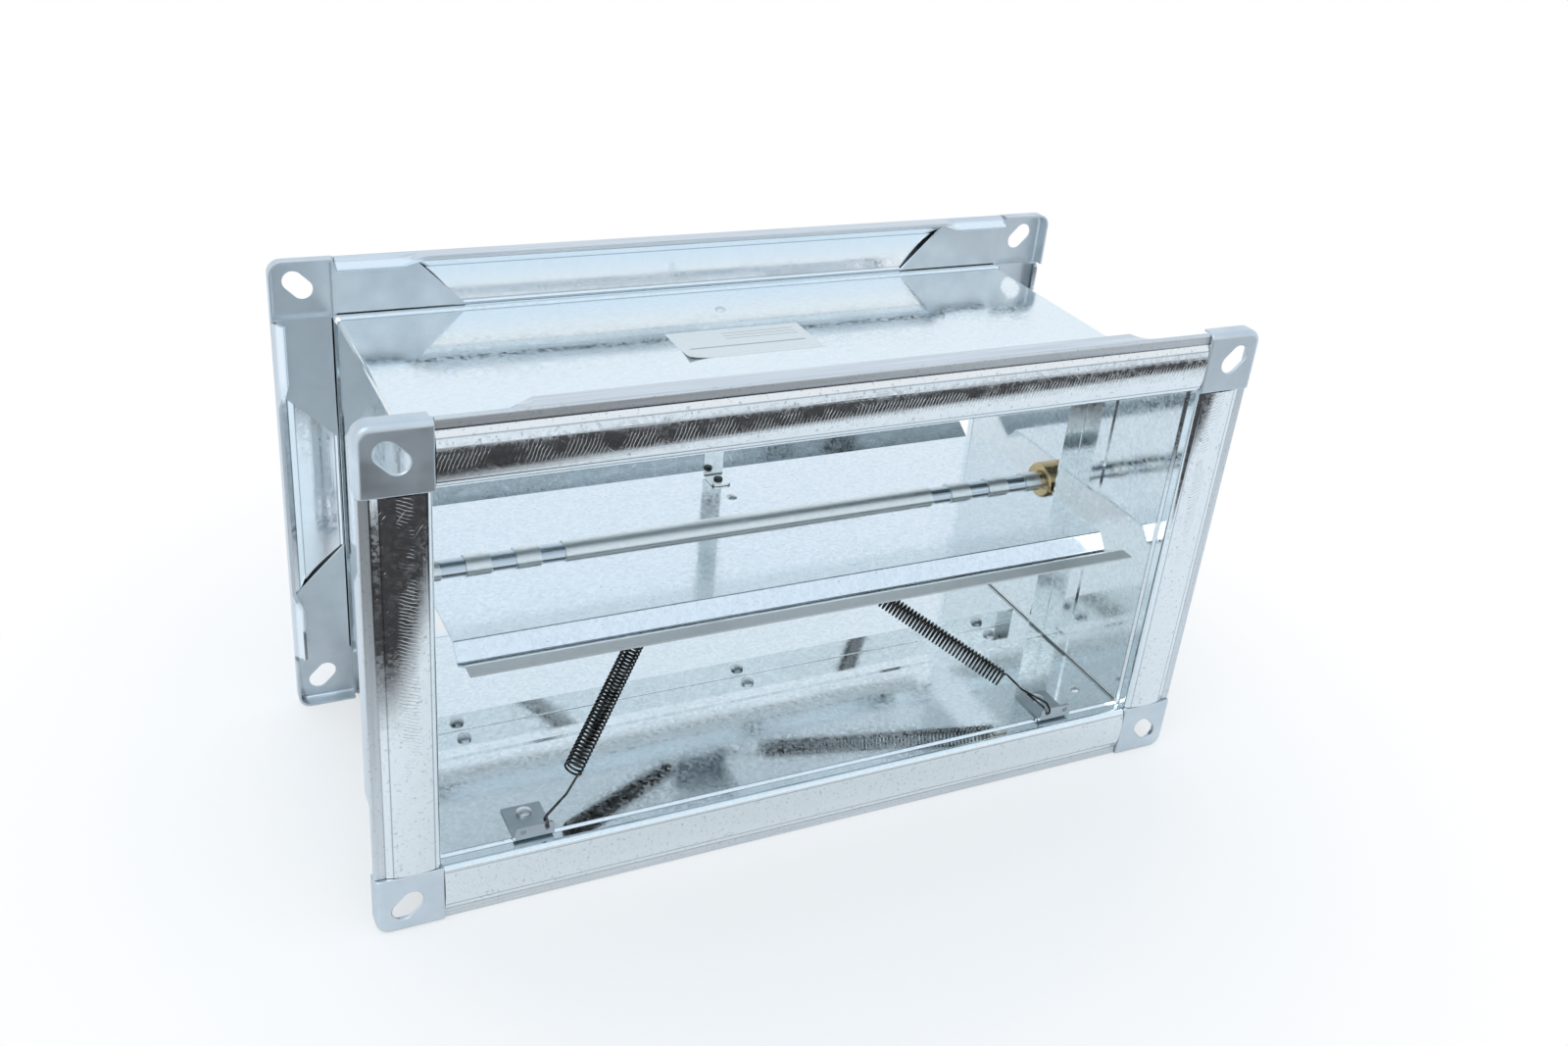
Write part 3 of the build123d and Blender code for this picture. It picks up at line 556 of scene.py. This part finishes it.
def bendWire(bm, ring, pos, heading, target, radius, tries=8, stepAngle=15, fewest=3):
    # bends the wire's end until it points at a place
    aim = (target - pos).normalized()
    for _ in range(tries):
        axis = heading.cross(aim).normalized()
        centre = pos + axis.cross(heading) * radius
        after = centre + Matrix.Rotation(heading.angle(aim), 3, axis) @ (pos - centre)
        aim = (target - after).normalized()
    axis = heading.cross(aim).normalized()
    angle = heading.angle(aim)
    steps = max(fewest, round(math.degrees(angle) / stepAngle))
    return turnWire(bm, ring, pos, heading, axis, radius, angle, steps)


def cornerWire(bm, ring, pos, heading, corner, newHeading, radius, steps=5):
    # runs the wire to a corner and rounds it
    angle = heading.angle(newHeading)
    ring, pos = runWire(bm, ring, pos, heading, (corner - pos).length - radius * math.tan(angle / 2))
    axis = heading.cross(newHeading).normalized()
    return turnWire(bm, ring, pos, heading, axis, radius, angle, steps)


def hookEnd(bm, ring, pos, heading, eye, look):
    # straight end and a narrow hook, whose round end lies square to the sheet it hangs in
    bend, radius = look["bend"] * mm, look["eye"] * mm
    along = (pos - eye).normalized()
    neck = eye + along * look["tail"] * mm
    inward = Vector((0, along.y, along.z)).normalized()
    upward = inward.cross(Vector((math.copysign(1, -inward.y), 0, 0)))
    first = eye + upward * radius + inward * look["lead"] * mm
    last = eye - upward * radius + inward * look["lead"] * mm
    ring, pos, heading = bendWire(bm, ring, pos, heading, neck, bend)
    ring, pos = runWire(bm, ring, pos, heading, (neck - pos).length)
    ring, pos, heading = bendWire(bm, ring, pos, heading, first, bend)
    ring, pos, heading = cornerWire(bm, ring, pos, heading, first, -inward, bend)
    ring, pos = runWire(bm, ring, pos, heading, (eye + upward * radius - pos).length)
    roundAxis = inward.cross(upward)
    ring, pos, heading = turnWire(bm, ring, pos, heading, roundAxis, radius, math.pi, look["eyeSteps"])
    ring, pos, heading = cornerWire(bm, ring, pos, heading, last, (neck - last).normalized(), bend)
    ring, pos = runWire(bm, ring, pos, heading, (neck - pos).length * look["legEnd"])
    bmesh.ops.contextual_create(bm, geom=edgesOf(ring))


def windSpring(name, low, high, lastTurn, look):
    run = (high - low).normalized()
    radius = (look["coil"] - look["wire"]) / 2 * mm
    coilStart = low + run * look["straight"] * mm
    coilLength = (high - low).length - 2 * look["straight"] * mm
    turns = round(coilLength / (look["pitch"] * mm)) + lastTurn
    steps = round(turns * look["stepsPerTurn"])
    radial = run.cross(Vector((0, 0, 1))).normalized()
    startPos = coilStart + radial * radius
    tangent = run.cross(radial)
    bm = bmesh.new()
    facing = tangent.to_track_quat("Z", "Y").to_matrix().to_4x4()
    made = bmesh.ops.create_circle(bm, radius=look["wire"] / 2 * mm, segments=look["sides"],
                                   matrix=Matrix.Translation(startPos) @ facing)
    firstRing = made["verts"] + list(bm.edges)
    made = bmesh.ops.spin(bm, geom=firstRing, cent=coilStart, axis=run, dvec=run * (coilLength / steps),
                          angle=math.tau * turns, steps=steps)
    lastRing = ringOf(made)
    around = Matrix.Rotation(math.tau * lastTurn, 3, run)
    endPos = coilStart + run * coilLength + around @ (radial * radius)
    hookEnd(bm, lastRing, endPos, around @ tangent, high, look)
    hookEnd(bm, firstRing, startPos, -tangent, low, look)
    return finishPiece(name, bm, [springSteel], True)


lugLow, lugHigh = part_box("spring_lug")
for hand, side in ((-1, "left"), (1, "right")):
    bracketLow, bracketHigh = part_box(side + "_spring_bracket")
    middle = (bracketLow.x + bracketHigh.x) / 2
    inset = (spring["holeEdge"] - spring["eye"]) * mm
    low = Vector((middle - hand * spring["holeSpread"] * mm, bracketLow.y + spring["halfSheet"] * mm,
                  bracketHigh.z - inset))
    high = Vector((hand * spring["lugSpread"] * mm, lugHigh.y - spring["halfSheet"] * mm, lugLow.z + inset))
    piece = windSpring(side + "SpringCoil", low, high, spring["lastTurn"][side], spring)
    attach(piece, "casing")
    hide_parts(side + "_spring")
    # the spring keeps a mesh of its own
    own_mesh(piece)
print("springs wound")

# Blank paper label on the roof, one corner lifting
label = {
    "left": -44.0, "right": 33.0, "front": 2.0, "back": 37.0,   # mm
    "thick": 0.12,           # mm
    "curl": 1.6,             # mm, height of the lifted corner
    "curlReach": 14.0,       # mm
    # mm from the front edge, thickness, and from the left edge
    "rules": ((22.0, 0.7, 30.0), (25.5, 0.7, 30.0), (29.0, 0.7, 30.0), (12.0, 1.0, 6.0)),
    "margin": 6.0,           # mm, from the right edge
    "columns": 44,
    "rows": 50,
    "glossy": 0.4,
    "dull": 0.6,
    "paper": "#EDEFEC",
    "paperShade": "#D9DBD8",
    "ink": "#B9BDC0",
    "inkShade": "#9FA4A8",
    "fibre": 0.8,            # mm
}


def labelPaper(name, pale, deep, look):
    # coated paper: white, matt, with a faint fibre
    material, tree, shader, place = startMaterial(name)
    fibre = noise(tree, place, look["fibre"], 4.0)
    tree.links.new(blendColour(tree, fibre, linear(pale), linear(deep)), shader.inputs["Base Color"])
    tree.links.new(ramp(tree, fibre, 0.0, 1.0, look["glossy"], look["dull"]), shader.inputs["Roughness"])
    return material


def makeLabel(look):
    width, depth = (look["right"] - look["left"]) * mm, (look["back"] - look["front"]) * mm
    bm = bmesh.new()
    bmesh.ops.create_grid(bm, x_segments=look["columns"], y_segments=look["rows"], size=0.5)
    bmesh.ops.scale(bm, vec=(width, depth, 1), verts=bm.verts)
    middleX = (look["left"] + look["right"]) / 2 * mm
    middleY = (look["front"] + look["back"]) / 2 * mm
    bmesh.ops.translate(bm, vec=Vector((middleX, middleY, roofWall)), verts=bm.verts)
    corner = Vector((look["left"] * mm, look["front"] * mm, 0))
    for vert in bm.verts:
        away = ((vert.co.x - corner.x) + (vert.co.y - corner.y)) / (look["curlReach"] * mm)
        vert.co.z += look["thick"] * mm + max(0.0, 1 - away) ** 2 * look["curl"] * mm
    for face in bm.faces:
        spot = face.calc_center_median()
        row = (spot.y - corner.y) / mm
        across = (spot.x - corner.x) / mm
        for start, thickness, indent in look["rules"]:
            if start <= row < start + thickness and indent < across < width / mm - look["margin"]:
                face.material_index = 1
    paper = labelPaper("labelPaper", look["paper"], look["paperShade"], look)
    ink = labelPaper("labelRules", look["ink"], look["inkShade"], look)
    piece = finishPiece("roofLabel", bm, [paper, ink], False)
    solid = piece.modifiers.new("thickness", "SOLIDIFY")
    solid.thickness = look["thick"] * mm
    solid.offset = -1.0
    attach(piece, "casing")


makeLabel(label)
print("label laid")

# Dark strip along the slit of the lock seam: painted shade of the closed seam behind it
seam = {"front": -91.0, "back": 91.0, "high": 0.9, "wide": 1.0, "sunk": 0.2,   # mm
        "wall": 1.0, "lump": 1.5, "lumpHeight": 0.1,                           # mm
        "seamShade": "#3C4245", "seamShadeMottle": "#62696C", "glossy": 0.5, "dull": 0.8}


def makeSeam(look):
    # painted shade: a dark, mottled strip where the closed seam is in shadow
    material, tree, shader, place = startMaterial("seamShadeStrip")
    lump = noise(tree, place, look["lump"], 3.0)
    colour = blendColour(tree, lump, linear(look["seamShade"]), linear(look["seamShadeMottle"]))
    tree.links.new(colour, shader.inputs["Base Color"])
    tree.links.new(ramp(tree, lump, 0.0, 1.0, look["glossy"], look["dull"]), shader.inputs["Roughness"])
    tree.links.new(bump(tree, lump, look["lumpHeight"]), shader.inputs["Normal"])
    insideWall = bushWall - look["wall"] * mm
    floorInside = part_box("right_spring_bracket")[0].z
    bm = bmesh.new()
    size = Vector((look["wide"], look["back"] - look["front"], look["high"])) * mm
    bmesh.ops.create_cube(bm, size=1.0)
    bmesh.ops.scale(bm, vec=size, verts=bm.verts)
    low = Vector((insideWall + (look["sunk"] - look["wide"]) * mm, look["front"] * mm, floorInside))
    bmesh.ops.translate(bm, vec=low + size / 2, verts=bm.verts)
    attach(finishPiece("seamShadeStrip", bm, [material], False), "casing")


makeSeam(seam)
print("seam filled")

# White table, a dark area in front of it that only reflections see, and soft light from all round
studio = {
    "floor": "#F6F6F5",
    "floorShade": "#FBFBFA",
    "floorHalf": 6.0,        # m
    "floorGrain": 300.0,     # mm
    "floorSheen": 0.1,
    "matt": 0.9,
    "shadowFrom": 0.27,      # m from the middle, the table's shadow fades into plain white
    "shadowTo": 0.46,
    "shadowLift": 0.5,       # share of plain white where the shadow is deepest
    "white": "#FFFFFF",
    "sky": "#E4F2FF",
    "walls": "#FBFBFB",
    "skyFull": 0.6,          # height of a direction, where the walls have faded into the sky
    "worldStrength": 1.0,
    "keyPower": 6.0,         # W
    "keySize": 1.2,          # m
    "keyPlace": (-1.0, -0.9, 1.6),
    "dark": ((-0.45, -0.18), (1.2, -0.79), (1.2, -1.3), (-0.45, -1.05)),   # m, corners on the table
    "darkLift": 2.0,         # mm above the table
    "darkGrain": 60.0,       # mm
    "darkEdge": 0.12,        # share of the dark area that fades
    "darkColour": "#1E1A19",
    "darkShade": "#3A3230",
}
floorHeight = cadBox[0][2]


def makeFloor(look):
    bm = bmesh.new()
    bmesh.ops.create_grid(bm, x_segments=1, y_segments=1, size=look["floorHalf"])
    bmesh.ops.translate(bm, vec=(0, 0, floorHeight), verts=bm.verts)
    mesh = bpy.data.meshes.new("tableTop")
    bm.to_mesh(mesh)
    bm.free()
    # white paper that keeps the shadow near the part and is plain white to the camera further out
    material, tree, shader, place = startMaterial("whitePaperSweep")
    grain = noise(tree, place, look["floorGrain"], 2.0)
    tree.links.new(blendColour(tree, grain, linear(look["floor"]), linear(look["floorShade"])),
                   shader.inputs["Base Color"])
    shader.inputs["Roughness"].default_value = look["matt"]
    shader.inputs["Specular IOR Level"].default_value = look["floorSheen"]
    far = addNode(tree, "ShaderNodeVectorMath", {0: place}, operation="LENGTH").outputs["Value"]
    fade = ramp(tree, far, look["shadowFrom"], look["shadowTo"], look["shadowLift"], 1.0)
    seen = addNode(tree, "ShaderNodeLightPath").outputs["Is Camera Ray"]
    plain = addNode(tree, "ShaderNodeEmission", {"Color": linear(look["white"]), "Strength": 1.0})
    mixed = addNode(tree, "ShaderNodeMixShader", {0: maths(tree, "MULTIPLY", fade, seen),
                                                  1: shader.outputs["BSDF"], 2: plain.outputs["Emission"]})
    output = next(node for node in tree.nodes if node.type == "OUTPUT_MATERIAL")
    tree.links.new(mixed.outputs["Shader"], output.inputs["Surface"])
    mesh.materials.append(material)
    floor = bpy.data.objects.new("tableTop", mesh)
    bpy.context.scene.collection.objects.link(floor)


def makeDarkArea(look):
    bm = bmesh.new()
    layer = bm.loops.layers.uv.new("across")
    corners = [bm.verts.new((x, y, floorHeight + look["darkLift"] * mm)) for x, y in look["dark"]]
    face = bm.faces.new(corners)
    for loop, flat in zip(face.loops, ((0, 1), (1, 1), (1, 0), (0, 0))):
        loop[layer].uv = flat
    bmesh.ops.recalc_face_normals(bm, faces=bm.faces)
    mesh = bpy.data.meshes.new("darkArea")
    bm.to_mesh(mesh)
    bm.free()
    # dark cloth, fading out at its near and far edges
    material, tree, shader, place = startMaterial("darkCloth")
    grain = noise(tree, place, look["darkGrain"], 3.0)
    tree.links.new(blendColour(tree, grain, linear(look["darkColour"]), linear(look["darkShade"])),
                   shader.inputs["Base Color"])
    shader.inputs["Roughness"].default_value = look["matt"]
    across = addNode(tree, "ShaderNodeUVMap", uv_map="across").outputs["UV"]
    depth = addNode(tree, "ShaderNodeSeparateXYZ", {"Vector": across}).outputs["Y"]
    nearFade = ramp(tree, depth, 1 - look["darkEdge"], 1.0, 1.0, 0.0)
    farFade = ramp(tree, depth, 0.0, look["darkEdge"], 0.0, 1.0)
    tree.links.new(maths(tree, "MULTIPLY", nearFade, farFade), shader.inputs["Alpha"])
    mesh.materials.append(material)
    area = bpy.data.objects.new("darkArea", mesh)
    bpy.context.scene.collection.objects.link(area)
    area.visible_camera = False
    area.visible_diffuse = False
    area.visible_shadow = False


makeFloor(studio)
makeDarkArea(studio)
world = bpy.data.worlds.new("softStudio")
bpy.context.scene.world = world
world.use_nodes = True
# pale walls round about, a faintly blue ceiling
studioTree = world.node_tree
aim = addNode(studioTree, "ShaderNodeTexCoord").outputs["Generated"]
aimUp = addNode(studioTree, "ShaderNodeSeparateXYZ", {"Vector": aim}).outputs["Z"]
roomColour = blendColour(studioTree, ramp(studioTree, aimUp, 0.0, studio["skyFull"], 0.0, 1.0),
                         linear(studio["walls"]), linear(studio["sky"]))
background = studioTree.nodes["Background"]
studioTree.links.new(roomColour, background.inputs["Color"])
background.inputs["Strength"].default_value = studio["worldStrength"]
keyData = bpy.data.lights.new("keyPanel", "AREA")
keyData.energy = studio["keyPower"]
keyData.size = studio["keySize"]
keyLamp = bpy.data.objects.new("keyPanel", keyData)
keyLamp.location = studio["keyPlace"]
keyLamp.rotation_euler = (-Vector(studio["keyPlace"])).to_track_quat("-Z", "Y").to_euler()
bpy.context.scene.collection.objects.link(keyLamp)
print("studio lit")

# Camera at the photograph's place, worked out from the duct's straight edges
view = {
    "azimuth": -28.419,      # degrees, to the left of the flow axis
    "elevation": 28.190,
    "roll": 5.747,
    "place": (-0.3377, -0.6574, 0.3989),   # m
    "focal": 1562.38,        # pixels of the 1600 pixel wide picture
    "pictureWidth": 1600,
    "sensor": 36.0,          # mm
    "nearest": 0.01,         # m
}
turn, rise, roll = (math.radians(view[key]) for key in ("azimuth", "elevation", "roll"))
back = Vector((math.sin(turn) * math.cos(rise), -math.cos(turn) * math.cos(rise), math.sin(rise)))
levelRight = (-back).cross(Vector((0, 0, 1))).normalized()
levelUp = levelRight.cross(-back)
right = levelRight * math.cos(roll) + levelUp * math.sin(roll)
up = levelUp * math.cos(roll) - levelRight * math.sin(roll)
cameraData = bpy.data.cameras.new("photoView")
cameraData.sensor_width = view["sensor"]
cameraData.lens = view["focal"] / view["pictureWidth"] * view["sensor"]
cameraData.clip_start = view["nearest"]
camera = bpy.data.objects.new("photoView", cameraData)
camera.matrix_world = Matrix.Translation(view["place"]) @ Matrix((right, up, back)).transposed().to_4x4()
bpy.context.scene.collection.objects.link(camera)
bpy.context.scene.camera = camera
bpy.context.scene.view_settings.view_transform = "Standard"
print("camera placed")
